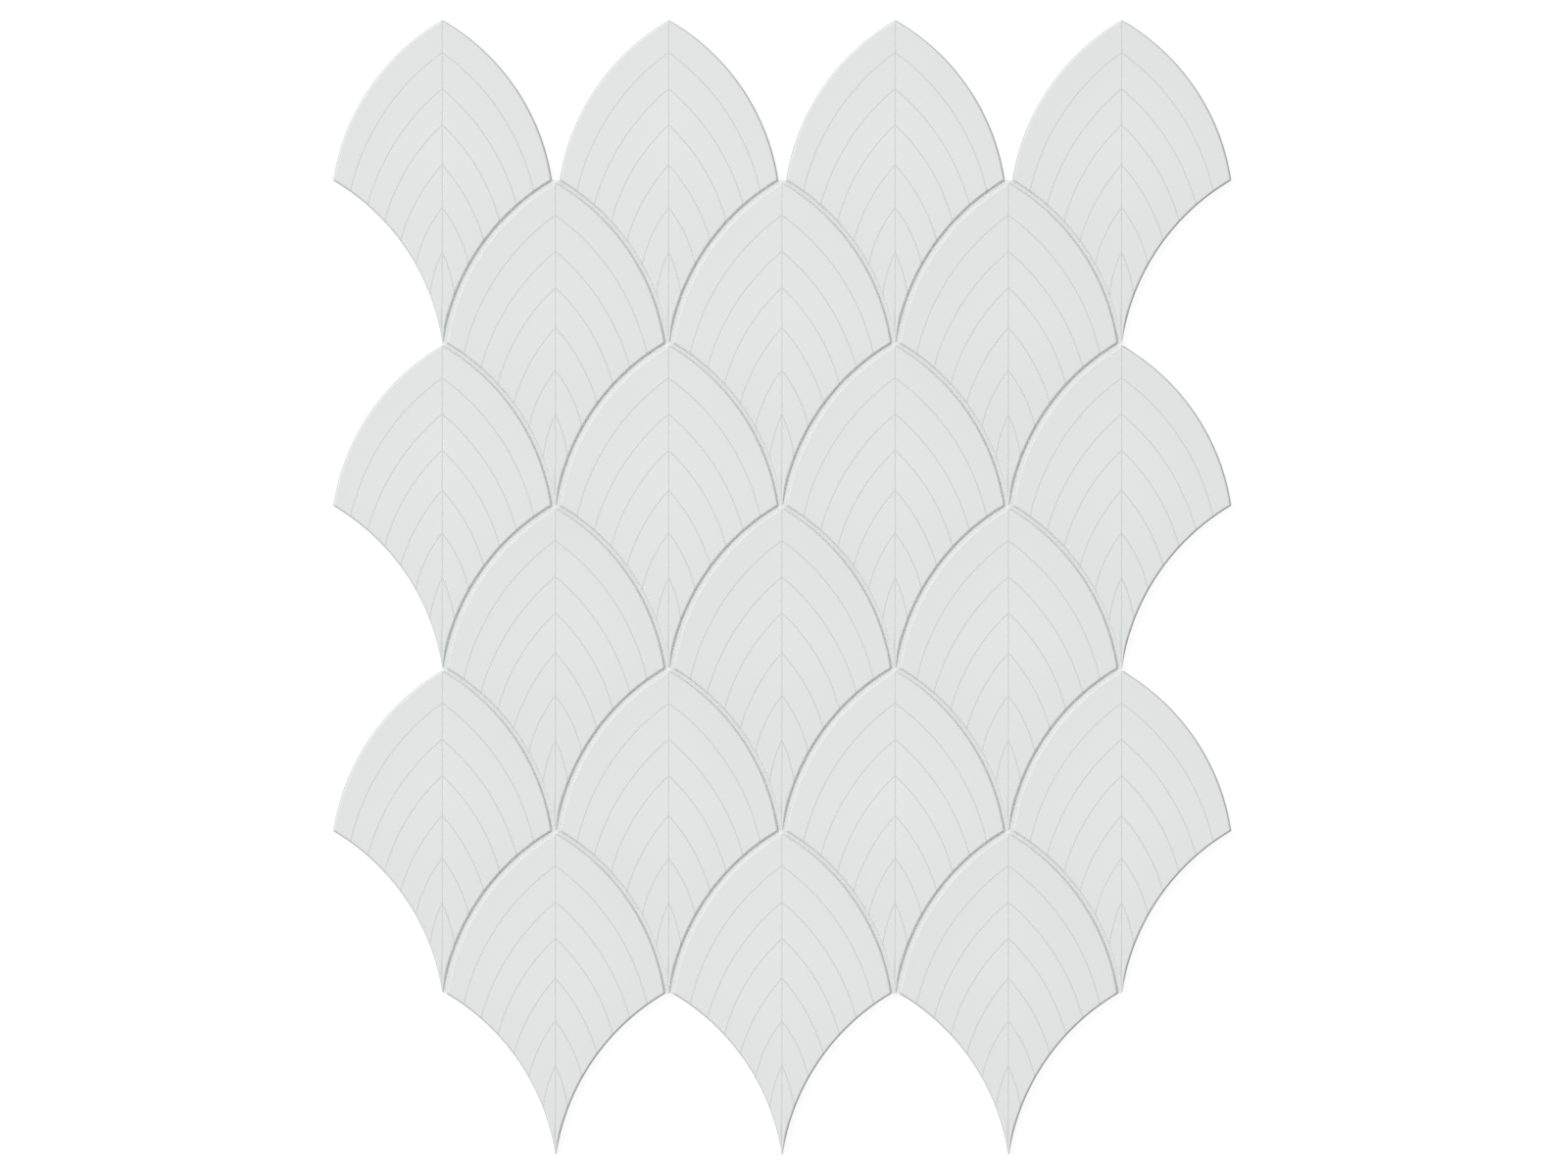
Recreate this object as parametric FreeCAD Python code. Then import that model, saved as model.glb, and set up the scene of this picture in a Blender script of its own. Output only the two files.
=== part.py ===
# Fish scale mosaic sheet: pointed scale tiles, each a leaf, held together by the filling of their joints.
# Sizes are in millimetres. The sheet lies on its back, with the glazed faces up along +Z and the
# tile tips towards +Y. The origin is the centre of the sheet, on the backs of the tiles.
import FreeCAD
import Part

import math
import os

# Tile outline
tile_width = 59.9        # from side corner to side corner
tip_rise = 44.0          # from the side corners up to the tip
edge_radius = 60.8       # of the two convex upper edges
tail_width = 0.2         # of the tail where it passes between two corners of the next row
tile_thickness = 6.0

# Midrib, the V groove down the middle of the leaf
groove_width = 0.5
groove_depth = 0.13
groove_land = 0.6        # glaze kept beside the groove where it ends above the tail

# Sheet layout
joint = 0.9              # gap between neighbouring tiles
joint_recess = 1.2       # from the glazed faces down to the filling of the joints
row_tiles = [4, 3, 4, 3, 4, 3]     # from the top row down, each row centred on the sheet


def point(x, y, z=0.0):
    return FreeCAD.Vector(x, y, z)


def mirrored(place):
    """The same point on the left-hand half of a tile."""
    return point(-place.x, place.y)


def upper_edge_centre(tip, corner):
    """Centre of the right-hand upper edge, which bulges outwards between the tip and the side corner."""
    chord = corner - tip
    to_centre = math.sqrt(edge_radius**2 - (chord.Length / 2) ** 2)
    inwards = point(chord.y, -chord.x).normalize()
    return (tip + corner) / 2 + inwards * to_centre


# Right-hand half of one tile, with its origin midway between the two side corners
tip = point(0, tip_rise)
corner = point(tile_width / 2, 0)
upper_centre = upper_edge_centre(tip, corner)

# The lower edge runs one joint outside the upper edge of the tile that nests below it
column_pitch = tile_width + 2 * joint + tail_width
lower_radius = edge_radius + joint
lower_centre_x = column_pitch / 2 - upper_centre.x
row_pitch = upper_centre.y + math.sqrt(lower_radius**2 - (lower_centre_x - corner.x) ** 2)
lower_centre = point(lower_centre_x, upper_centre.y - row_pitch)

# The tail stops one joint above the tip of the tile two rows below
tail_end = tip_rise - 2 * row_pitch + joint
tail_corner_x = lower_centre.x - math.sqrt(lower_radius**2 - (tail_end - lower_centre.y) ** 2)
tail_corner = point(tail_corner_x, tail_end)


def arc(centre, start, end):
    middle = ((start + end) / 2 - centre).normalize() * (start - centre).Length
    return Part.Arc(start, centre + middle, end).toShape()


def polygon_face(corners):
    return Part.Face(Part.makePolygon(corners + corners[:1]))


def tile_outline():
    left_upper = arc(mirrored(upper_centre), tip, mirrored(corner))
    left_lower = arc(mirrored(lower_centre), mirrored(corner), mirrored(tail_corner))
    tail = Part.makeLine(mirrored(tail_corner), tail_corner)
    right_lower = arc(lower_centre, tail_corner, corner)
    right_upper = arc(upper_centre, corner, tip)
    return Part.Wire([left_upper, left_lower, tail, right_lower, right_upper])


def midrib_cutter():
    """V groove of full width at the face, from the tip to where its lands meet the lower edges."""
    half_width = groove_width / 2 + groove_land
    groove_end = lower_centre.y + math.sqrt(lower_radius**2 - (lower_centre.x - half_width) ** 2)
    section = polygon_face([
        point(-groove_width, groove_end, tile_thickness + groove_depth),
        point(0, groove_end, tile_thickness - groove_depth),
        point(groove_width, groove_end, tile_thickness + groove_depth),
    ])
    return section.extrude(point(0, tip_rise + groove_width - groove_end))


def make_tile():
    body = Part.Face(tile_outline()).extrude(point(0, 0, tile_thickness))
    return body.cut(midrib_cutter())


def tile_places():
    """Origin of each tile by (row, half column), where half columns count from the widest row's first tile."""
    lowest_tail = tail_end - (len(row_tiles) - 1) * row_pitch
    first_row_y = -(tip_rise + lowest_tail) / 2
    places = {}
    for row, tiles in enumerate(row_tiles):
        for column in range(tiles):
            half_column = max(row_tiles) - tiles + 2 * column
            x = (2 * column - tiles + 1) * column_pitch / 2
            places[row, half_column] = point(x, first_row_y - row * row_pitch)
    return places


def tile_name(row, half_column):
    """Rows count from the top and tiles from the left, both from 1."""
    column = (half_column - max(row_tiles) + row_tiles[row]) // 2
    return f"tile_row{row + 1}_{column + 1}"


def joint_strip():
    """Joint along a tile's right-hand upper edge, as far as the tile that nests above that edge."""
    tile_above = point(column_pitch / 2, row_pitch)
    tail_above = tile_above + mirrored(tail_corner)
    corner_above = tile_above + mirrored(corner)
    return Part.Face(Part.Wire([
        arc(upper_centre, tip, corner),
        Part.makeLine(corner, tail_above),
        arc(upper_centre, tail_above, corner_above),
        Part.makeLine(corner_above, tip),
    ]))


def joint_strips(places):
    right_strip = joint_strip()
    left_strip = right_strip.mirror(point(0, 0), point(1, 0))
    strips = []
    for (row, half_column), place in places.items():
        if (row - 1, half_column + 1) in places:
            strips.append(right_strip.translated(place))
        if (row - 1, half_column - 1) in places:
            strips.append(left_strip.translated(place))
    return strips


def joint_knots(places):
    """Small faces where joints meet: below a tail, between two corners and above a tip."""
    knots = []
    for row in range(-1, len(row_tiles)):
        for half_column in range(2 * max(row_tiles) - 1):
            meeting = [
                ((row, half_column), mirrored(tail_corner)),
                ((row + 1, half_column - 1), corner),
                ((row + 2, half_column), tip),
                ((row + 1, half_column + 1), mirrored(corner)),
                ((row, half_column), tail_corner),
            ]
            corners = [places[tile] + offset for tile, offset in meeting if tile in places]
            if len(corners) > 2:
                knots.append(polygon_face(corners))
    return knots


def make_joint_filling(places):
    height = point(0, 0, tile_thickness - joint_recess)
    pieces = [face.extrude(height) for face in joint_strips(places) + joint_knots(places)]
    return pieces[0].fuse(pieces[1:]).removeSplitter()


def main():
    os.makedirs("parts", exist_ok=True)
    places = tile_places()
    filling = make_joint_filling(places)
    filling.exportStep("parts/joint_filling.step")
    tile = make_tile()
    for (row, half_column), place in places.items():
        tile.translated(place).exportStep(f"parts/{tile_name(row, half_column)}.step")
    print(f"tile {tile_width:.2f} x {tip_rise - tail_end:.2f} mm, tail {2 * tail_corner.x:.2f} mm")
    print(f"pitch {column_pitch:.2f} x {row_pitch:.2f} mm")
    print(f"volumes: tile {tile.Volume:.0f} mm3, joint filling {filling.Volume:.0f} mm3")


main()
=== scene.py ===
"""Fish scale mosaic sheet: glazed leaf tiles and the filling of their joints, on a pale floor.

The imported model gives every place. Shapes are worked out in millimetres, in a tile's own frame, and are
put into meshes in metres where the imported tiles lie.
"""
import logging
import math
from dataclasses import dataclass
from dataclasses import field
from enum import Enum
from typing import Any

import bpy
import numpy as np
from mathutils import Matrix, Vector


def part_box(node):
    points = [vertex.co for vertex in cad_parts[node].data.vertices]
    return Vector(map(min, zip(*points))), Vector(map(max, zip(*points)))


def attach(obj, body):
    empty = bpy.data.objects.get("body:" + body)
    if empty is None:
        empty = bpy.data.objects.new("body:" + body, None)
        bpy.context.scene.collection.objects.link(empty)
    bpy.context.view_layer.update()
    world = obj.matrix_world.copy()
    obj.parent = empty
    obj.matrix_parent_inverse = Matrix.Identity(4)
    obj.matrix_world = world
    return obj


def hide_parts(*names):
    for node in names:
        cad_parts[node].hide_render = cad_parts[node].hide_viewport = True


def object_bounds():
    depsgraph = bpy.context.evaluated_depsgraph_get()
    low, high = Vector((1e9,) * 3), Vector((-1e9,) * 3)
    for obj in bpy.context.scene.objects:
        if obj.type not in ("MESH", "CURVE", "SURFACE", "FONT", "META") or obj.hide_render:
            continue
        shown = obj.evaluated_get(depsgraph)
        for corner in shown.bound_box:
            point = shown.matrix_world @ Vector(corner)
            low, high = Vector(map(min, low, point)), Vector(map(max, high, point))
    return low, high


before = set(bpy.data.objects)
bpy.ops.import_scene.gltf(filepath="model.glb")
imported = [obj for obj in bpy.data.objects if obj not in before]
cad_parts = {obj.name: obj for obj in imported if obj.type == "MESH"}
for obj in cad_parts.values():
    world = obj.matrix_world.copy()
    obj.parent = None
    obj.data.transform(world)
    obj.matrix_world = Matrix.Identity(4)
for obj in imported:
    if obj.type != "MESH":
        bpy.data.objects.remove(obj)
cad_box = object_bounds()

MM = 0.001
SHARP_EDGE = math.radians(35)
BUMP_DEPTH = 0.1 * MM
WHITE = (1.0, 1.0, 1.0)
log = logging.getLogger("mosaic_sheet")


class Slot(Enum):
    """Finishes that the record names."""

    GLAZE = "glazed_porcelain"
    RESIN = "joint_resin"


class TileFinish(Enum):
    """Order of the two finishes on a tile's mesh."""

    GLAZED = 0
    BARE = 1


class Mark(Enum):
    """Attributes of a piece's points that its finish follows."""

    # Share of the painted shade along the veins' grooves.
    VEIN_SHADE = "vein"
    # Share of the painted light in a face's heart, against the painted shade towards its edges.
    HEART = "heart"
    BATCH = "batch"
    # Share of the swell where joints meet, which the resin follows as painted light.
    KNOT_LIGHT = "knot"


def shaded_piece(
    name: str,
    points: np.ndarray,
    faces: list[list[int]],
    marks: dict[Mark, np.ndarray],
    finishes: list[bpy.types.Material],
    order: np.ndarray,
) -> bpy.types.Object:
    """Puts a shape into a mesh that is smooth but for its sharp edges.

    Args:
        name: Name of the piece.
        points: Points (x, y, z) in metres.
        faces: Faces as lists of points.
        marks: Values that the finishes follow, one for each point.
        finishes: Materials of the piece.
        order: Place among the materials of each face's own one.

    Returns:
        The piece's object, at the origin, with its place in its mesh.
    """
    mesh = bpy.data.meshes.new(name)
    mesh.from_pydata(points, [], faces)
    for finish in finishes:
        mesh.materials.append(finish)
    mesh.polygons.foreach_set("material_index", order)
    mesh.polygons.foreach_set("use_smooth", np.ones(len(faces), dtype=bool))
    mesh.set_sharp_from_angle(angle=SHARP_EDGE)
    for mark, values in marks.items():
        mesh.attributes.new(mark.value, "FLOAT", "POINT").data.foreach_set("value", values)
    mesh.update()
    return bpy.data.objects.new(mesh.name, mesh)


@dataclass(frozen=True)
class LeafOutline:
    """Outline of one tile, from the point midway between its side corners, with the tip along +Y.

    Two arcs that bulge outwards run from the tip to the side corners. Two arcs that keep one joint clear
    of the upper edges of the tiles nested below run on from the side corners to a narrow tail.
    """

    half_width: float
    column_pitch: float
    row_pitch: float
    thickness: float
    tip_rise: float = 44.0
    edge_radius: float = 60.8
    joint: float = 0.9

    @classmethod
    def from_frame(cls) -> "LeafOutline":
        """Reads the width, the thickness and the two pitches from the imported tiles.

        Returns:
            The outline that all the tiles share.
        """
        low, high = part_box("tile_row1_1")
        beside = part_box("tile_row1_2")[0]
        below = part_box("tile_row2_1")[0]
        return cls(
            half_width=(high.x - low.x) / 2 / MM,
            column_pitch=(beside.x - low.x) / MM,
            row_pitch=(low.y - below.y) / MM,
            thickness=(high.z - low.z) / MM,
        )

    @property
    def tip(self) -> np.ndarray:
        """The upper point."""
        return np.array([0.0, self.tip_rise])

    @property
    def corner(self) -> np.ndarray:
        """The right-hand side corner."""
        return np.array([self.half_width, 0.0])

    @property
    def upper_centre(self) -> np.ndarray:
        """Centre of the right-hand upper edge, square to the middle of its chord from tip to corner."""
        chord = self.corner - self.tip
        length = np.linalg.norm(chord)
        inwards = np.array([chord[1], -chord[0]]) / length
        return (self.tip + self.corner) / 2 + inwards * math.sqrt(self.edge_radius**2 - (length / 2) ** 2)

    @property
    def lower_radius(self) -> float:
        """Radius of the lower edges, one joint more than that of the edge nested in them."""
        return self.edge_radius + self.joint

    @property
    def lower_centre(self) -> np.ndarray:
        """Centre of the right-hand lower edge, which is that of the nested tile's left-hand upper edge."""
        x, y = self.upper_centre
        return np.array([self.column_pitch / 2 - x, y - self.row_pitch])

    @property
    def tail_y(self) -> float:
        """Height of the tail, one joint above the tip of the tile two rows below."""
        return self.tip_rise - 2 * self.row_pitch + self.joint

    @property
    def tail_corner(self) -> np.ndarray:
        """Right-hand end of the tail, where the lower edge reaches its height."""
        x, y = self.lower_centre
        return np.array([x - math.sqrt(self.lower_radius**2 - (self.tail_y - y) ** 2), self.tail_y])

    @property
    def lower_start(self) -> float:
        """Angle of the side corner about the centre of the lower edge."""
        x, y = self.corner - self.lower_centre
        return math.atan2(y, x)

    @property
    def lower_length(self) -> float:
        """Length of the lower edge from the side corner to the tail."""
        tail_angle = math.pi - math.asin((self.tail_y - self.lower_centre[1]) / self.lower_radius)
        return (tail_angle - self.lower_start) * self.lower_radius

    def on_lower_edge(self, distance: np.ndarray) -> np.ndarray:
        """Points on the right-hand lower edge.

        Args:
            distance: Way along the edge from the side corner.

        Returns:
            One point (x, y) for each distance, on the circle about the edge's centre.
        """
        angle = self.lower_start + distance / self.lower_radius
        turn = np.stack([np.cos(angle), np.sin(angle)], axis=-1)
        return self.lower_centre + turn * self.lower_radius

    def edge_distances(self, points: np.ndarray) -> np.ndarray:
        """Distances of points from the four edges, counted inwards.

        Args:
            points: Places (x, y) on the tile.

        Returns:
            For each point, radius less distance from the centre for each upper edge, and distance from
            the centre less radius for each lower edge.
        """
        sides = np.array([[1.0, 1.0], [-1.0, 1.0]])
        from_upper = np.linalg.norm(points[..., None, :] - self.upper_centre * sides, axis=-1)
        from_lower = np.linalg.norm(points[..., None, :] - self.lower_centre * sides, axis=-1)
        return np.concatenate([self.edge_radius - from_upper, from_lower - self.lower_radius], axis=-1)


@dataclass(frozen=True)
class LeafArcs:
    """Arcs across the right-hand half of a leaf, each from the midrib to the lower edge.

    Each arc is given by its root, the way down the midrib from the tip, its end, the way along the lower
    edge from the side corner, and its bend, which is 1 / radius.
    """

    outline: LeafOutline
    root: np.ndarray
    end: np.ndarray
    bend: np.ndarray

    @property
    def roots(self) -> np.ndarray:
        """Points where the arcs leave the midrib."""
        return np.stack([np.zeros_like(self.root), self.outline.tip_rise - self.root], axis=-1)

    @property
    def ends(self) -> np.ndarray:
        """Points where the arcs meet the lower edge."""
        return self.outline.on_lower_edge(self.end)

    @property
    def chord(self) -> np.ndarray:
        """Ways straight from the roots to the ends."""
        return self.ends - self.roots

    @property
    def half_turn(self) -> np.ndarray:
        """Half of the angle that each arc turns through, whose sine is half the chord times the bend."""
        return np.arcsin(np.linalg.norm(self.chord, axis=-1) * self.bend / 2)

    @property
    def length(self) -> np.ndarray:
        """Lengths along the arcs."""
        return 2 * self.half_turn / self.bend

    @property
    def centre(self) -> np.ndarray:
        """Centres of the arcs, to the right of the way from root to end."""
        _, across = self.axes
        to_centre = np.cos(self.half_turn) / self.bend
        return (self.roots + self.ends) / 2 - across * to_centre[:, None]

    @property
    def axes(self) -> tuple[np.ndarray, np.ndarray]:
        """Unit directions along the chords and square to them, on the side that the arcs bulge to."""
        along = self.chord / np.linalg.norm(self.chord, axis=-1, keepdims=True)
        across = np.stack([-along[:, 1], along[:, 0]], axis=-1)
        return along, across

    @property
    def slants(self) -> tuple[np.ndarray, np.ndarray]:
        """Sines of the angles at which the arcs leave the midrib and meet the lower edge."""
        along, across = self.axes
        cosine = np.cos(self.half_turn)[:, None]
        sine = np.sin(self.half_turn)[:, None]
        leaving = along * cosine + across * sine
        meeting = along * cosine - across * sine
        square = (self.ends - self.outline.lower_centre) / self.outline.lower_radius
        return leaving[:, 0], np.abs(np.sum(meeting * square, axis=-1))

    def points(self, share: np.ndarray) -> np.ndarray:
        """Points along the arcs.

        An arc's point at share s is turned (2 s - 1) times the half turn from the arc's middle.

        Args:
            share: Share of each arc's length, one row for each arc.

        Returns:
            Points (x, y), one row for each arc.
        """
        along, across = self.axes
        turn = (2 * share - 1) * self.half_turn[:, None]
        run = np.sin(turn) / self.bend[:, None]
        rise = (np.cos(turn) - np.cos(self.half_turn)[:, None]) / self.bend[:, None]
        middle = (self.roots + self.ends) / 2
        return middle[:, None] + run[..., None] * along[:, None] + rise[..., None] * across[:, None]

    def beside(self, offsets: np.ndarray) -> np.ndarray:
        """Rows of root, end and bend for arcs that run beside each arc, about the same centre.

        Root and end slide by the offset over the sine of the angle that the arc makes there.

        Args:
            offsets: Distances from the arc, towards the tail.

        Returns:
            An array with arcs along the first axis, offsets along the second, and root, end and bend last.
        """
        at_root, at_end = self.slants
        root = self.root[:, None] + offsets / at_root[:, None]
        end = self.end[:, None] + offsets / at_end[:, None]
        bend = 1 / (1 / self.bend[:, None] - offsets)
        return np.stack([root, end, bend], axis=-1)


@dataclass(frozen=True)
class LeafVeins:
    """Grooves of the leaf: a straight midrib from tip to tail, and arcs that branch off to both sides."""

    roots: tuple[float, ...] = (9.1, 19.0, 28.9, 39.8, 51.5, 63.6)
    ends: tuple[float, ...] = (5.8, 11.8, 18.3, 25.1, 32.8, 42.0)
    radii: tuple[float, ...] = (63.7, 62.6, 55.1, 51.8, 38.2, 40.3)
    half_width: float = 0.25
    depth: float = 0.02
    midrib_half_width: float = 0.24
    midrib_depth: float = 0.015

    def arcs(self, outline: LeafOutline) -> LeafArcs:
        """The branching veins of the right-hand half.

        Args:
            outline: Outline of the tile.

        Returns:
            One arc for each vein, from the tip down.
        """
        return LeafArcs(outline, np.array(self.roots), np.array(self.ends), 1 / np.array(self.radii))

    def hollows(self, outline: LeafOutline, plan: np.ndarray) -> tuple[np.ndarray, np.ndarray]:
        """Shares of the grooves' depths, 1 in the middle of a groove and 0 outside it.

        A share is (1 - t^2)^2, with t the distance from the groove's middle in half widths. For a vein that
        is the distance from its circle. The left-hand half mirrors the right-hand one.

        Args:
            outline: Outline of the tile.
            plan: Points (x, y) of the face.

        Returns:
            Shares of the veins and of the midrib.
        """
        right_half = np.stack([np.abs(plan[..., 0]), plan[..., 1]], axis=-1)
        arcs = self.arcs(outline)
        from_centre = np.linalg.norm(right_half[..., None, :] - arcs.centre, axis=-1)
        nearest = np.min(np.abs(from_centre - 1 / arcs.bend), axis=-1)
        veins = np.clip(1 - (nearest / self.half_width) ** 2, 0, 1) ** 2
        midrib = np.clip(1 - (plan[..., 0] / self.midrib_half_width) ** 2, 0, 1) ** 2
        return veins, midrib


@dataclass(frozen=True)
class BevelledRim:
    """Section of a tile's rim: the face turns down over a rounded shoulder into a straight bevel."""

    shoulder_radius: float = 0.38
    bevel_angle: float = math.radians(60)
    bevel_width: float = 0.3
    shoulder_steps: int = 5
    bevel_steps: int = 2
    guard: float = 1.2

    @property
    def shoulder_width(self) -> float:
        """Width of the shoulder, its radius times the sine of the bevel's angle."""
        return self.shoulder_radius * math.sin(self.bevel_angle)

    @property
    def width(self) -> float:
        """Width of the whole rim."""
        return self.shoulder_width + self.bevel_width

    @property
    def drop(self) -> float:
        """Fall of the whole rim, from the face to the tile's edge."""
        return float(self.fall(np.zeros(1))[0])

    @property
    def offsets(self) -> np.ndarray:
        """Distances from an edge at which the rim is cut, and a guard beyond it that keeps the face flat."""
        bevel = np.linspace(0, self.bevel_width, self.bevel_steps, endpoint=False)
        turn = np.linspace(self.bevel_angle, 0, self.shoulder_steps + 1)
        shoulder = self.width - self.shoulder_radius * np.sin(turn)
        return np.concatenate([bevel, shoulder, [self.guard * self.width]])

    def fall(self, inwards: np.ndarray) -> np.ndarray:
        """How far the rim lies below the face.

        On the shoulder the fall is that of a circle, radius less the root of radius squared less run
        squared. On the bevel it grows by the tangent of the bevel's angle.

        Args:
            inwards: Distances from the edge.

        Returns:
            The fall at each distance, 0 inside the rim.
        """
        run = np.clip(self.width - inwards, 0, self.width)
        on_shoulder = np.minimum(run, self.shoulder_width)
        rounding = self.shoulder_radius - np.sqrt(self.shoulder_radius**2 - on_shoulder**2)
        return rounding + (run - on_shoulder) * math.tan(self.bevel_angle)


@dataclass(frozen=True)
class ScaleTile:
    """One pressed tile: a leaf with carved veins and a bevelled rim, plain sides and a flat back."""

    outline: LeafOutline
    veins: LeafVeins
    rim: BevelledRim
    glaze_reach: float = 1.6
    groove_steps: int = 4
    groove_guard: float = 1.4
    plain_rows: int = 3
    plain_columns: int = 24
    row_share: float = 0.4
    tail_bend: float = 1e-5

    @property
    def groove_offsets(self) -> np.ndarray:
        """Half widths from a groove's middle at which one side of it is cut, and a guard beyond its lip."""
        return np.append(np.linspace(0, 1, self.groove_steps + 1), self.groove_guard)

    def rows(self) -> LeafArcs:
        """Arcs that the face is woven on.

        They follow the upper edge's rim and each vein's groove, and change evenly from one to the next,
        and at last to the straight tail.

        Returns:
            The arcs from the upper edge to the tail.
        """
        outline = self.outline
        edge = LeafArcs(outline, np.zeros(1), np.zeros(1), np.array([1 / outline.edge_radius]))
        tail = np.array([[outline.tip_rise - outline.tail_y, outline.lower_length, self.tail_bend]])
        across = np.concatenate([-self.groove_offsets[:0:-1], self.groove_offsets]) * self.veins.half_width
        groups = [*edge.beside(self.rim.offsets), *self.veins.arcs(outline).beside(across), tail]
        share = np.linspace(0, 1, self.plain_rows + 2)[1:-1, None]
        woven = [groups[0]]
        for before, after in zip(groups, groups[1:]):
            woven += [before[-1] + share * (after[0] - before[-1]), after]
        root, end, bend = np.concatenate(woven).T
        return LeafArcs(outline, root, end, bend)

    def face(self) -> np.ndarray:
        """Plan of the face as a grid, from the left-hand lower edge over the midrib to the right-hand one.

        Columns lie at fixed distances beside the midrib and inside the lower edges, and evenly between.
        On the short rows by the tail these distances shrink, so that each side takes at most its row share.

        Returns:
            Points (x, y) on a grid of rows and columns.
        """
        rows = self.rows()
        at_root, at_end = rows.slants
        length = rows.length[:, None]
        near = self.veins.midrib_half_width * self.groove_offsets / at_root[:, None]
        far = self.rim.offsets / at_end[:, None]
        room = np.minimum(1, self.row_share * length / np.maximum(near[:, -1:], far[:, -1:]))
        near, far = near * room, far * room
        even = np.linspace(0, 1, self.plain_columns + 2)[1:-1]
        middle = near[:, -1:] + even * (length - near[:, -1:] - far[:, -1:])
        right = rows.points(np.concatenate([near, middle, length - far[:, ::-1]], axis=1) / length)
        left = right[:, :0:-1] * np.array([-1.0, 1.0])
        return np.concatenate([left, right], axis=1)

    def rim_share(self, plan: np.ndarray) -> np.ndarray:
        """Share of the rim's drop that the face has fallen by.

        Near two edges both falls add up, to one rim's drop at most.

        Args:
            plan: Points (x, y) of the face.

        Returns:
            Shares, 0 inside the rim and 1 at the tile's edge.
        """
        falls = np.sum(self.rim.fall(self.outline.edge_distances(plan)), axis=-1)
        return np.minimum(falls / self.rim.drop, 1)

    def relief(self, plan: np.ndarray) -> np.ndarray:
        """Height of the face over its plan.

        The rim takes off its share of the drop. Each groove takes off its depth times its share, and fades
        out over the rim.

        Args:
            plan: Points (x, y) of the face.

        Returns:
            Heights above the back.
        """
        rim = self.rim_share(plan)
        veins, midrib = self.veins.hollows(self.outline, plan)
        grooves = np.maximum(veins * self.veins.depth, midrib * self.veins.midrib_depth)
        return self.outline.thickness - rim * self.rim.drop - grooves * (1 - rim)

    def shell(self) -> tuple[np.ndarray, list[list[int]], int]:
        """Closed surface of the tile.

        The face's border is carried straight down its sides, past the line where the glaze stops, to the
        flat back.

        Returns:
            Points (x, y, z), faces as lists of points, and how many of the faces are glazed.
        """
        plan = self.face()
        height = self.relief(plan)
        index = np.arange(height.size).reshape(height.shape)
        quads = np.stack([index[:-1, :-1], index[1:, :-1], index[1:, 1:], index[:-1, 1:]], axis=-1)
        border = np.concatenate([index[:-1, 0], index[-1, :-1], index[:0:-1, -1], index[0, :0:-1]])
        levels = (self.outline.thickness - self.glaze_reach, 0.0)
        points = [np.concatenate([plan, height[..., None]], axis=-1).reshape(-1, 3)]
        walls = []
        above = border
        for step, level in enumerate(levels):
            ring = points[0][border]
            ring[:, 2] = level
            points.append(ring)
            below = height.size + step * border.size + np.arange(border.size)
            walls.append(np.stack([above, below, np.roll(below, -1), np.roll(above, -1)], axis=-1))
            above = below
        glazed = quads.reshape(-1, 4).tolist() + walls[0].tolist()
        bare = walls[1].tolist() + [above[::-1].tolist()]
        return np.concatenate(points), glazed + bare, len(glazed)

    def marks(self, size: int, batch: float) -> dict[Mark, np.ndarray]:
        """Values that the glaze follows, for each point of the shell.

        Args:
            size: Number of points of the shell, which begin with those of the face.
            batch: Tone of this tile among its batch, from -1 to 1.

        Returns:
            One value for each point and mark; the sides and the back count as plain edge.
        """
        plan = self.face()
        hollow = np.maximum(*self.veins.hollows(self.outline, plan))
        # Painted shade: the glaze is painted greyer along the veins' grooves, fading out over the rim.
        vein = (hollow * (1 - self.rim_share(plan))).ravel()
        # Painted light and shade: the glaze is painted lighter in the face's heart and darker towards its
        # edges.
        inwards = np.min(self.outline.edge_distances(plan), axis=-1).ravel()
        beyond = np.zeros(size - vein.size)
        return {
            Mark.VEIN_SHADE: np.concatenate([vein, beyond]),
            Mark.HEART: np.concatenate([inwards / inwards.max(), beyond]),
            Mark.BATCH: np.full(size, batch),
        }

    def build(
        self, node: str, batch: float, finishes: dict[TileFinish, bpy.types.Material]
    ) -> bpy.types.Object:
        """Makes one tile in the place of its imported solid.

        Args:
            node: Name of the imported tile.
            batch: Tone of this tile among its batch, from -1 to 1.
            finishes: Materials of the glazed and of the bare faces.

        Returns:
            The tile's object, at the origin, with its place in its mesh.
        """
        low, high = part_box(node)
        origin = np.array([(low.x + high.x) / 2, high.y - self.outline.tip_rise * MM, low.z])
        points, faces, glazed = self.shell()
        order = np.full(len(faces), TileFinish.BARE.value, dtype=np.int32)
        order[:glazed] = TileFinish.GLAZED.value
        marks = self.marks(len(points), batch)
        materials = [finishes[finish] for finish in TileFinish]
        return shaded_piece(f"glazed_{node}", points * MM + origin, faces, marks, materials, order)


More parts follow.
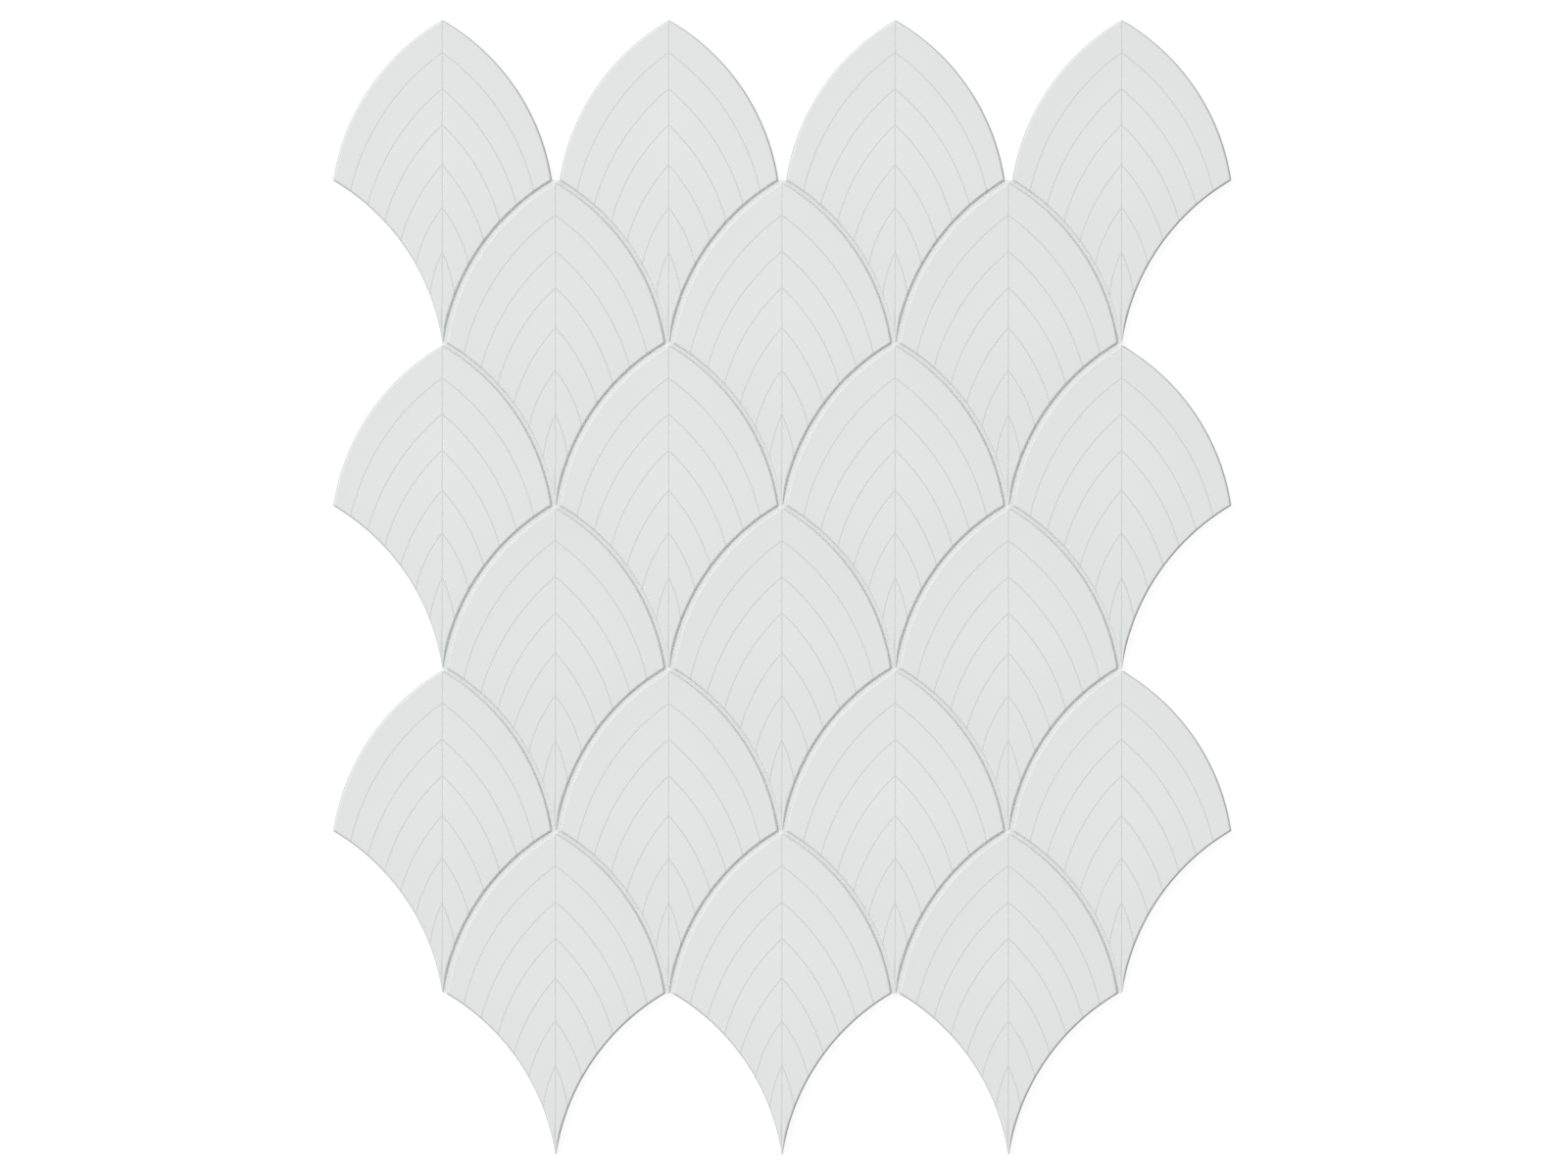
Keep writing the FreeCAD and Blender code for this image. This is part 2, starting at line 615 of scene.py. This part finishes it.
@dataclass(frozen=True)
class JointFilling:
    """Filling of the joints, cast in one piece: a strip along each joint, and a knot wherever joints meet.

    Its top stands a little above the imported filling's flat one. It is dished, because the filling clings to
    the tiles, and it swells up where joints meet.
    """

    outline: LeafOutline
    origins: dict[tuple[int, int], np.ndarray]
    flat_height: float
    rise: float = 0.28
    climb: float = 0.08
    swell: float = 0.06
    swell_reach: float = 1.4
    swell_drop: float = 0.5
    steps_along: int = 44
    steps_across: int = 8
    weld_decimals: int = 4

    def dished(self, start: np.ndarray, end: np.ndarray) -> np.ndarray:
        """Lines across a joint, straight in plan.

        At share t of the way the height is that of the flat filling plus the rise, plus the climb times
        (2 t - 1)^2.

        Args:
            start: Places (x, y) on the one side.
            end: Places (x, y) on the other side.

        Returns:
            Points (x, y, z), with the shares along the axis before the last.
        """
        share = np.linspace(0, 1, self.steps_across + 1)
        plan = start[..., None, :] + share[:, None] * (end - start)[..., None, :]
        height = self.flat_height + self.rise + self.climb * (2 * share - 1) ** 2
        return np.concatenate([plan, np.broadcast_to(height[:, None], (*plan.shape[:-1], 1))], axis=-1)

    def strip(self) -> np.ndarray:
        """Joint along a tile's right-hand upper edge, as far as the tile that nests above it.

        Both sides turn about the centre of the upper edge, one joint apart, from corner to corner of the
        two tiles. Share s of the way, counted in even steps, is share (1 - cos(pi s)) / 2 of the turn, so
        steps are short by the knots.

        Returns:
            Points (x, y, z) on a grid along and across the joint.
        """
        outline = self.outline
        above = np.array([outline.column_pitch / 2, outline.row_pitch])
        mirror = np.array([-1.0, 1.0])
        starts = np.stack([outline.tip, above + outline.corner * mirror]) - outline.upper_centre
        ends = np.stack([outline.corner, above + outline.tail_corner * mirror]) - outline.upper_centre
        share = (1 - np.cos(np.linspace(0, math.pi, self.steps_along + 1)))[:, None] / 2
        first, last = (np.arctan2(reach[:, 1], reach[:, 0]) for reach in (starts, ends))
        near, far = (np.linalg.norm(reach, axis=1) for reach in (starts, ends))
        angle = first + share * (last - first)
        turn = np.stack([np.cos(angle), np.sin(angle)], axis=-1)
        lines = outline.upper_centre + turn * (near + share * (far - near))[..., None]
        return self.dished(lines[:, 0], lines[:, 1])

    def strips(self) -> np.ndarray:
        """All the strips.

        Returns:
            Points (x, y, z) on one grid for each strip, with the top side up.
        """
        right = self.strip()
        left = right[:, ::-1] * np.array([-1.0, 1.0, 1.0])
        grids = []
        for (row, half_column), origin in self.origins.items():
            place = np.append(origin, 0.0)
            if (row - 1, half_column + 1) in self.origins:
                grids.append(right + place)
            if (row - 1, half_column - 1) in self.origins:
                grids.append(left + place)
        return np.stack(grids)

    def knot(self, row: int, half_column: int) -> np.ndarray | None:
        """Border of the place where joints meet below a tail, between two corners and above a tip.

        Args:
            row: Row of the tile with the tail.
            half_column: Half column of the tile with the tail.

        Returns:
            Points (x, y, z) round the knot, or nothing where fewer than three corners meet.
        """
        outline = self.outline
        mirror = np.array([-1.0, 1.0])
        meeting = [
            ((row, half_column), outline.tail_corner * mirror),
            ((row + 1, half_column - 1), outline.corner),
            ((row + 2, half_column), outline.tip),
            ((row + 1, half_column + 1), outline.corner * mirror),
            ((row, half_column), outline.tail_corner),
        ]
        corners = [(tile, self.origins[tile] + offset) for tile, offset in meeting if tile in self.origins]
        if len(corners) < 3:
            return None
        sides = []
        for (tile, start), (next_tile, end) in zip(corners, corners[1:] + corners[:1]):
            across = self.dished(start, end)
            sides.append(across[:1] if tile == next_tile else across[:-1])
        return np.concatenate(sides)

    def knots(self) -> list[np.ndarray]:
        """Borders of all the knots.

        Returns:
            Points (x, y, z) round each knot.
        """
        rows, half_columns = np.max(list(self.origins), axis=0) + 1
        places = [(row, half_column) for row in range(-1, rows) for half_column in range(half_columns)]
        borders = [self.knot(*place) for place in places]
        return [border for border in borders if border is not None]

    def fullness(self, plan: np.ndarray) -> np.ndarray:
        """How full of resin the joints are.

        The share is (1 - t^2)^2, with t the distance from the nearest swell's middle over its reach. That
        middle lies below the middle of a knot, by the tip of the next tile.

        Args:
            plan: Places (x, y) on the filling.

        Returns:
            Shares of the swell, 1 in its middle and 0 beyond the reach.
        """
        knots = np.stack([border[:, :2].mean(axis=0) for border in self.knots()])
        middles = knots - np.array([0.0, self.swell_drop])
        nearest = np.min(np.linalg.norm(plan[:, None] - middles, axis=-1), axis=-1)
        return np.clip(1 - (nearest / self.swell_reach) ** 2, 0, 1) ** 2

    def top(self) -> tuple[np.ndarray, np.ndarray, np.ndarray]:
        """The dished top: the strips' grids, and a fan of triangles about the middle of each knot.

        Returns:
            Points (x, y, z) with those that coincide made one, four-sided faces and triangles.
        """
        grids = self.strips()
        index = np.arange(grids[..., 0].size).reshape(grids.shape[:-1])
        corners = [index[:, :-1, :-1], index[:, 1:, :-1], index[:, 1:, 1:], index[:, :-1, 1:]]
        quads = np.stack(corners, axis=-1).reshape(-1, 4)
        points = [grids.reshape(-1, 3)]
        fans = []
        count = index.size
        for border in self.knots():
            middle = np.append(border[:, :2].mean(axis=0), border[:, 2].min())
            around = count + np.arange(len(border))
            hub = np.full_like(around, count + len(border))
            fans.append(np.stack([around, np.roll(around, -1), hub], axis=-1))
            points += [border, middle[None]]
            count += len(border) + 1
        loose = np.concatenate(points)
        rounded = np.round(loose, self.weld_decimals)
        _, kept, joined = np.unique(rounded, axis=0, return_index=True, return_inverse=True)
        joined = joined.ravel()
        return loose[kept], joined[quads], joined[np.concatenate(fans)]

    def build(self, finish: bpy.types.Material) -> bpy.types.Object:
        """Makes the filling: its top, the same faces turned down on the back, and walls round its border.

        Args:
            finish: Material of the filling.

        Returns:
            The filling's object, at the origin, with its place in its mesh.
        """
        top, quads, triangles = self.top()
        size = len(top)
        fullness = self.fullness(top[:, :2])
        top[:, 2] += self.swell * fullness
        sides = [np.stack([group, np.roll(group, -1, axis=1)], axis=-1) for group in (quads, triangles)]
        edges = np.concatenate([side.reshape(-1, 2) for side in sides])
        outer = ~np.isin(edges @ [size, 1], edges @ [1, size])
        start, end = edges[outer].T
        walls = np.stack([start, start + size, end + size, end], axis=-1)
        groups = [quads, triangles, quads[:, ::-1] + size, triangles[:, ::-1] + size, walls]
        faces = [face for group in groups for face in group.tolist()]
        points = np.concatenate([top, top * np.array([1.0, 1.0, 0.0])])
        # The swell's share also sets where the resin is painted whiter, as painted light.
        marks = {Mark.KNOT_LIGHT: np.concatenate([fullness, np.zeros(size)])}
        order = np.zeros(len(faces), dtype=np.int32)
        return shaded_piece("light_joint_filling", points * MM, faces, marks, [finish], order)


@dataclass(frozen=True)
class NodeBench:
    """Places and joins shader nodes in one node tree."""

    tree: bpy.types.NodeTree

    def add(self, kind: str, **settings: Any) -> bpy.types.Node:
        """Places a node.

        Args:
            kind: Node type.
            settings: Properties to set on it.

        Returns:
            The new node.
        """
        node = self.tree.nodes.new(kind)
        for name, value in settings.items():
            setattr(node, name, value)
        return node

    def join(self, source: bpy.types.NodeSocket, target: bpy.types.NodeSocket) -> None:
        """Joins an output to an input."""
        self.tree.links.new(source, target)

    def group(self, tree: bpy.types.NodeTree, **values: Any) -> bpy.types.Node:
        """Places a node group with its own values.

        Args:
            tree: The group.
            values: Input values, with spaces in their names written as underscores.

        Returns:
            The group's node.
        """
        node = self.add("ShaderNodeGroup", node_tree=tree)
        for name, value in values.items():
            node.inputs[name.replace("_", " ")].default_value = value
        return node

    def math(self, operation: str, first: Any, second: Any) -> bpy.types.NodeSocket:
        """Places a sum, product or other operation on two numbers.

        Args:
            operation: Name of the operation.
            first: A number or an output.
            second: A number or an output.

        Returns:
            The result's output.
        """
        node = self.add("ShaderNodeMath", operation=operation)
        for value, socket in zip((first, second), node.inputs):
            if isinstance(value, bpy.types.NodeSocket):
                self.join(value, socket)
            else:
                socket.default_value = value
        return node.outputs[0]

    def mix(self, share: bpy.types.NodeSocket, first: Any, second: Any) -> bpy.types.NodeSocket:
        """Places a mix of two colours.

        Args:
            share: Output that gives the share of the second colour.
            first: A colour or an output.
            second: A colour or an output.

        Returns:
            The mixed colour's output.
        """
        node = self.add("ShaderNodeMix", data_type="RGBA")
        sockets = {socket.identifier: socket for socket in node.inputs}
        self.join(share, sockets["Factor_Float"])
        for value, name in ((first, "A_Color"), (second, "B_Color")):
            if isinstance(value, bpy.types.NodeSocket):
                self.join(value, sockets[name])
            else:
                sockets[name].default_value = value
        return next(socket for socket in node.outputs if socket.identifier == "Result_Color")

    def bump(self, height: bpy.types.NodeSocket, strength: float) -> bpy.types.NodeSocket:
        """Places a shallow bump.

        Args:
            height: Output that gives the height, from 0 to 1.
            strength: Share of the bump that shows.

        Returns:
            The bumped normal's output.
        """
        node = self.add("ShaderNodeBump")
        node.inputs["Strength"].default_value = strength
        node.inputs["Distance"].default_value = BUMP_DEPTH
        self.join(height, node.inputs["Height"])
        return node.outputs["Normal"]

    def mark(self, mark: Mark) -> bpy.types.NodeSocket:
        """Output of one of the piece's attributes."""
        return self.add("ShaderNodeAttribute", attribute_name=mark.value).outputs["Fac"]


def rgba(level: tuple[float, float, float]) -> tuple[float, float, float, float]:
    """An opaque colour."""
    return (*level, 1.0)


@dataclass(frozen=True)
class FiredGrain:
    """Shader node group: soft mottling with a finer grain in it, on Object coordinates."""

    detail: float = 3.0
    roughness: float = 0.55

    def tree(self) -> bpy.types.NodeTree:
        """Builds the group.

        Returns:
            A group that takes the two scales per metre and the share of the finer grain, and gives a tone
            from 0 to 1 and a height for a bump.
        """
        tree = bpy.data.node_groups.new("fired_grain", "ShaderNodeTree")
        for name in ("Mottle Scale", "Grain Scale", "Grain Share"):
            tree.interface.new_socket(name, in_out="INPUT", socket_type="NodeSocketFloat")
        for name in ("Tone", "Height"):
            tree.interface.new_socket(name, in_out="OUTPUT", socket_type="NodeSocketFloat")
        bench = NodeBench(tree)
        given = bench.add("NodeGroupInput")
        result = bench.add("NodeGroupOutput")
        place = bench.add("ShaderNodeTexCoord").outputs["Object"]
        layers = []
        for scale in ("Mottle Scale", "Grain Scale"):
            noise = bench.add("ShaderNodeTexNoise")
            noise.inputs["Detail"].default_value = self.detail
            noise.inputs["Roughness"].default_value = self.roughness
            bench.join(place, noise.inputs["Vector"])
            bench.join(given.outputs[scale], noise.inputs["Scale"])
            layers.append(noise.outputs["Fac"])
        mottle, grain = layers
        fine = bench.math("MULTIPLY", bench.math("SUBTRACT", grain, mottle), given.outputs["Grain Share"])
        bench.join(bench.math("ADD", mottle, fine), result.inputs["Tone"])
        bench.join(grain, result.inputs["Height"])
        return tree


@dataclass(frozen=True)
class ToneShift:
    """Shader node group: a colour made lighter or darker by a tone."""

    def tree(self) -> bpy.types.NodeTree:
        """Builds the group.

        Returns:
            A group that gives the colour times 1 + amount x (tone - 0.5).
        """
        tree = bpy.data.node_groups.new("tone_shift", "ShaderNodeTree")
        tree.interface.new_socket("Color", in_out="INPUT", socket_type="NodeSocketColor")
        for name in ("Tone", "Amount"):
            tree.interface.new_socket(name, in_out="INPUT", socket_type="NodeSocketFloat")
        tree.interface.new_socket("Color", in_out="OUTPUT", socket_type="NodeSocketColor")
        bench = NodeBench(tree)
        given = bench.add("NodeGroupInput")
        result = bench.add("NodeGroupOutput")
        swing = bench.math("SUBTRACT", given.outputs["Tone"], 0.5)
        factor = bench.math("ADD", bench.math("MULTIPLY", swing, given.outputs["Amount"]), 1.0)
        scaled = bench.add("ShaderNodeVectorMath", operation="SCALE")
        bench.join(given.outputs["Color"], scaled.inputs[0])
        bench.join(factor, scaled.inputs["Scale"])
        bench.join(scaled.outputs[0], result.inputs["Color"])
        return tree


@dataclass(frozen=True)
class Effects:
    """Node groups that the finishes share."""

    grain: bpy.types.NodeTree = field(default_factory=lambda: FiredGrain().tree())
    tone: bpy.types.NodeTree = field(default_factory=lambda: ToneShift().tree())


def fresh_material(name: str) -> tuple[bpy.types.Material, NodeBench, bpy.types.Node]:
    """Starts a material with an empty Principled shader.

    Args:
        name: Name of the finish.

    Returns:
        The material, a bench for its nodes and the shader.
    """
    material = bpy.data.materials.new(name)
    material.use_nodes = True
    return material, NodeBench(material.node_tree), material.node_tree.nodes["Principled BSDF"]


@dataclass(frozen=True)
class SatinGlaze:
    """White satin glaze, painted a little lighter along the leaf's heart and darker towards its edges as
    painted light and shade, and painted greyer along the veins as painted shade in their grooves.
    """

    # Painted light and shade: the face is lighter in its heart and darker towards its edges.
    heart: tuple[float, float, float] = (0.826, 0.842, 0.833)
    edge: tuple[float, float, float] = (0.799, 0.814, 0.806)
    # Colour of the painted shade along the veins' grooves.
    groove_shade: tuple[float, float, float] = (0.635, 0.646, 0.64)
    roughness: tuple[float, float] = (0.42, 0.52)
    mottle_scale: float = 45.0
    grain_scale: float = 420.0
    grain_share: float = 0.35
    mottle: float = 0.03
    batch_swing: float = 0.006
    peel: float = 0.05

    def material(self, effects: Effects) -> bpy.types.Material:
        """Builds the finish.

        Args:
            effects: Shared node groups.

        Returns:
            The glaze.
        """
        material, bench, shader = fresh_material("satin_glaze")
        grain = bench.group(
            effects.grain,
            Mottle_Scale=self.mottle_scale,
            Grain_Scale=self.grain_scale,
            Grain_Share=self.grain_share,
        )
        # Painted light and shade: lighter in the heart of the face, darker towards its edges.
        ground = bench.mix(bench.mark(Mark.HEART), rgba(self.edge), rgba(self.heart))
        # Painted shade: the glaze is painted greyer along the veins' grooves.
        groove_shaded = bench.mix(bench.mark(Mark.VEIN_SHADE), ground, rgba(self.groove_shade))
        mottled = bench.group(effects.tone, Amount=self.mottle)
        bench.join(groove_shaded, mottled.inputs["Color"])
        bench.join(grain.outputs["Tone"], mottled.inputs["Tone"])
        batch = bench.group(effects.tone, Amount=self.batch_swing)
        bench.join(mottled.outputs["Color"], batch.inputs["Color"])
        bench.join(bench.mark(Mark.BATCH), batch.inputs["Tone"])
        bench.join(batch.outputs["Color"], shader.inputs["Base Color"])
        satin = bench.add("ShaderNodeMapRange")
        bench.join(grain.outputs["Tone"], satin.inputs["Value"])
        satin.inputs["To Min"].default_value, satin.inputs["To Max"].default_value = self.roughness
        bench.join(satin.outputs["Result"], shader.inputs["Roughness"])
        bench.join(bench.bump(grain.outputs["Height"], self.peel), shader.inputs["Normal"])
        return material


@dataclass(frozen=True)
class GrainyFinish:
    """Matt finish with a fine grain: bare fired porcelain, or resin that is painted whiter where joints meet,
    as painted light on the open crossings.
    """

    name: str
    color: tuple[float, float, float]
    mottle_scale: float
    grain_scale: float
    mottle: float
    roughness: float
    bump: float
    grain_share: float = 0.6
    knot_lit_color: tuple[float, float, float] | None = None

    def material(self, effects: Effects) -> bpy.types.Material:
        """Builds the finish.

        Args:
            effects: Shared node groups.

        Returns:
            The matt material.
        """
        material, bench, shader = fresh_material(self.name)
        grain = bench.group(
            effects.grain,
            Mottle_Scale=self.mottle_scale,
            Grain_Scale=self.grain_scale,
            Grain_Share=self.grain_share,
        )
        tone = bench.group(effects.tone, Color=rgba(self.color), Amount=self.mottle)
        # Painted light: the resin is painted whiter where joints meet, where the crossing lies open to the
        # light.
        if self.knot_lit_color:
            mixed = bench.mix(bench.mark(Mark.KNOT_LIGHT), rgba(self.color), rgba(self.knot_lit_color))
            bench.join(mixed, tone.inputs["Color"])
        bench.join(grain.outputs["Tone"], tone.inputs["Tone"])
        bench.join(tone.outputs["Color"], shader.inputs["Base Color"])
        shader.inputs["Roughness"].default_value = self.roughness
        bench.join(bench.bump(grain.outputs["Height"], self.bump), shader.inputs["Normal"])
        return material


@dataclass(frozen=True)
class MosaicSheet:
    """The sheet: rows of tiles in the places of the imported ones, and the filling of the joints."""

    tile: ScaleTile
    effects: Effects
    body_name: str = "root"
    filling_name: str = "joint_filling"
    batch_seed: int = 7

    def tile_nodes(self) -> list[str]:
        """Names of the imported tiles, in order of rows."""
        return sorted(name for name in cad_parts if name.startswith("tile_row"))

    def origins(self) -> dict[tuple[int, int], np.ndarray]:
        """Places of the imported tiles, each at the point midway between its side corners.

        They are taken to whole steps of the two pitches from the upper left one, so that the joints meet.

        Returns:
            Places (x, y) by row and half column, counted from the top and from the left.
        """
        boxes = [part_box(name) for name in self.tile_nodes()]
        outline = self.tile.outline
        middles = np.array([((low.x + high.x) / 2, high.y) for low, high in boxes]) / MM
        places = middles - outline.tip
        first = np.array([places[:, 0].min(), places[:, 1].max()])
        step = np.array([outline.column_pitch / 2, -outline.row_pitch])
        counts = np.rint((places - first) / step).astype(int)
        return {(row, half): first + step * (half, row) for half, row in counts.tolist()}

    def add(self, piece: bpy.types.Object, node: str, slot: Slot) -> None:
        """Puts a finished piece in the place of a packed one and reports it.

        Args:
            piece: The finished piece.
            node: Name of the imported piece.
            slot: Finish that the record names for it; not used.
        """
        bpy.context.scene.collection.objects.link(piece)
        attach(piece, self.body_name)
        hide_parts(node)
        log.info("%s: %d faces", piece.name, len(piece.data.polygons))

    def build_tiles(self) -> None:
        """Builds, dresses and reports each tile."""
        bare = GrainyFinish(
            name="bare_porcelain",
            color=(0.66, 0.63, 0.58),
            mottle_scale=120.0,
            grain_scale=2500.0,
            mottle=0.08,
            roughness=0.72,
            bump=0.25,
        )
        finishes = {
            TileFinish.GLAZED: SatinGlaze().material(self.effects),
            TileFinish.BARE: bare.material(self.effects),
        }
        names = self.tile_nodes()
        batch = np.random.default_rng(self.batch_seed).uniform(-1, 1, len(names))
        for name, tone in zip(names, batch):
            self.add(self.tile.build(name, float(tone), finishes), name, Slot.GLAZE)

    def build_filling(self) -> None:
        """Builds, dresses and reports the filling of the joints."""
        resin = GrainyFinish(
            name="light_joint_resin",
            color=(0.715, 0.725, 0.72),
            mottle_scale=300.0,
            grain_scale=2800.0,
            mottle=0.06,
            roughness=0.75,
            bump=0.12,
            # Painted light where joints meet.
            knot_lit_color=(0.84, 0.845, 0.855),
        )
        packed_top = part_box(self.filling_name)[1].z / MM
        filling = JointFilling(self.tile.outline, self.origins(), packed_top)
        self.add(filling.build(resin.material(self.effects)), self.filling_name, Slot.RESIN)


@dataclass(frozen=True)
class Studio:
    """Pale floor, soft light from the upper left of the picture, and a long lens straight above."""

    sheet_centre: tuple[float, float]
    face_height: float
    column_pitch: float
    picture_size: tuple[int, int] = (1600, 1200)
    pitch_in_picture: float = 231.1
    centre_in_picture: tuple[float, float] = (798.0, 599.1)
    lens: float = 600.0
    sensor: float = 36.0
    farthest: float = 100.0
    floor_side: float = 12.0
    floor_gap: float = 0.2 * MM
    floor_color: tuple[float, float, float] = (0.55, 0.55, 0.55)
    floor_roughness: float = 0.9
    key_azimuth: float = 139.0
    key_height: float = 58.0
    key_distance: float = 30.0
    key_size: float = 16.0
    key_power: float = 6880.0
    fill: float = 0.32
    floor_glow: float = 0.82

    def lay_floor(self) -> None:
        """Lays the plain floor just under the sheet, with a glow to the lens that keeps it near white."""
        half = self.floor_side / 2
        x, y = np.meshgrid(np.array([-half, half]), np.array([-half, half]))
        points = np.stack([x.ravel(), y.ravel(), np.full(4, -self.floor_gap)], axis=-1)
        mesh = bpy.data.meshes.new("floor")
        mesh.from_pydata(points, [], [(0, 1, 3, 2)])
        material, bench, shader = fresh_material("pale_floor")
        shader.inputs["Base Color"].default_value = rgba(self.floor_color)
        shader.inputs["Roughness"].default_value = self.floor_roughness
        shader.inputs["Specular IOR Level"].default_value = 0.0
        shader.inputs["Emission Color"].default_value = rgba(WHITE)
        to_lens = bench.add("ShaderNodeLightPath").outputs["Is Camera Ray"]
        bench.join(bench.math("MULTIPLY", to_lens, self.floor_glow), shader.inputs["Emission Strength"])
        mesh.materials.append(material)
        floor = bpy.data.objects.new("floor", mesh)
        bpy.context.scene.collection.objects.link(floor)

    def set_light(self) -> None:
        """Hangs one large soft light and sets an even fill all round."""
        lamp = bpy.data.lights.new("key_softbox", "AREA")
        lamp.shape = "DISK"
        lamp.size = self.key_size
        lamp.energy = self.key_power
        azimuth = math.radians(self.key_azimuth)
        height = math.radians(self.key_height)
        key = bpy.data.objects.new("key_softbox", lamp)
        key.location = (
            self.key_distance * math.cos(height) * math.cos(azimuth),
            self.key_distance * math.cos(height) * math.sin(azimuth),
            self.key_distance * math.sin(height),
        )
        key.rotation_euler = key.location.to_track_quat("Z", "Y").to_euler()
        key.visible_camera = False
        bpy.context.scene.collection.objects.link(key)
        world = bpy.data.worlds.new("even_fill")
        world.use_nodes = True
        background = world.node_tree.nodes["Background"]
        background.inputs["Color"].default_value = rgba(WHITE)
        background.inputs["Strength"].default_value = self.fill
        bpy.context.scene.world = world
        bpy.context.scene.view_settings.view_transform = "Standard"

    def set_camera(self) -> None:
        """Puts the camera where the photograph's frame and scale ask, looking straight down."""
        per_pixel = self.column_pitch / self.pitch_in_picture * MM
        wide, high = self.picture_size
        lens = bpy.data.cameras.new("camera")
        lens.lens = self.lens
        lens.sensor_width = self.sensor
        lens.sensor_fit = "HORIZONTAL"
        lens.clip_end = self.farthest
        camera = bpy.data.objects.new("camera", lens)
        camera.location = (
            self.sheet_centre[0] + (wide / 2 - self.centre_in_picture[0]) * per_pixel,
            self.sheet_centre[1] - (high / 2 - self.centre_in_picture[1]) * per_pixel,
            self.face_height + wide * per_pixel * self.lens / self.sensor,
        )
        bpy.context.scene.collection.objects.link(camera)
        bpy.context.scene.camera = camera

    def build(self) -> None:
        """Makes the floor, the light and the camera."""
        self.lay_floor()
        self.set_light()
        self.set_camera()
        log.info("studio: %.0f mm lens", self.lens)


def main() -> None:
    """Builds the sheet and its studio."""
    logging.basicConfig(level=logging.INFO, format="%(name)s %(message)s")
    low, high = cad_box
    outline = LeafOutline.from_frame()
    sheet = MosaicSheet(ScaleTile(outline, LeafVeins(), BevelledRim()), Effects())
    sheet.build_tiles()
    sheet.build_filling()
    centre = ((low.x + high.x) / 2, (low.y + high.y) / 2)
    Studio(centre, high.z, outline.column_pitch).build()


if __name__ == "__main__":
    main()
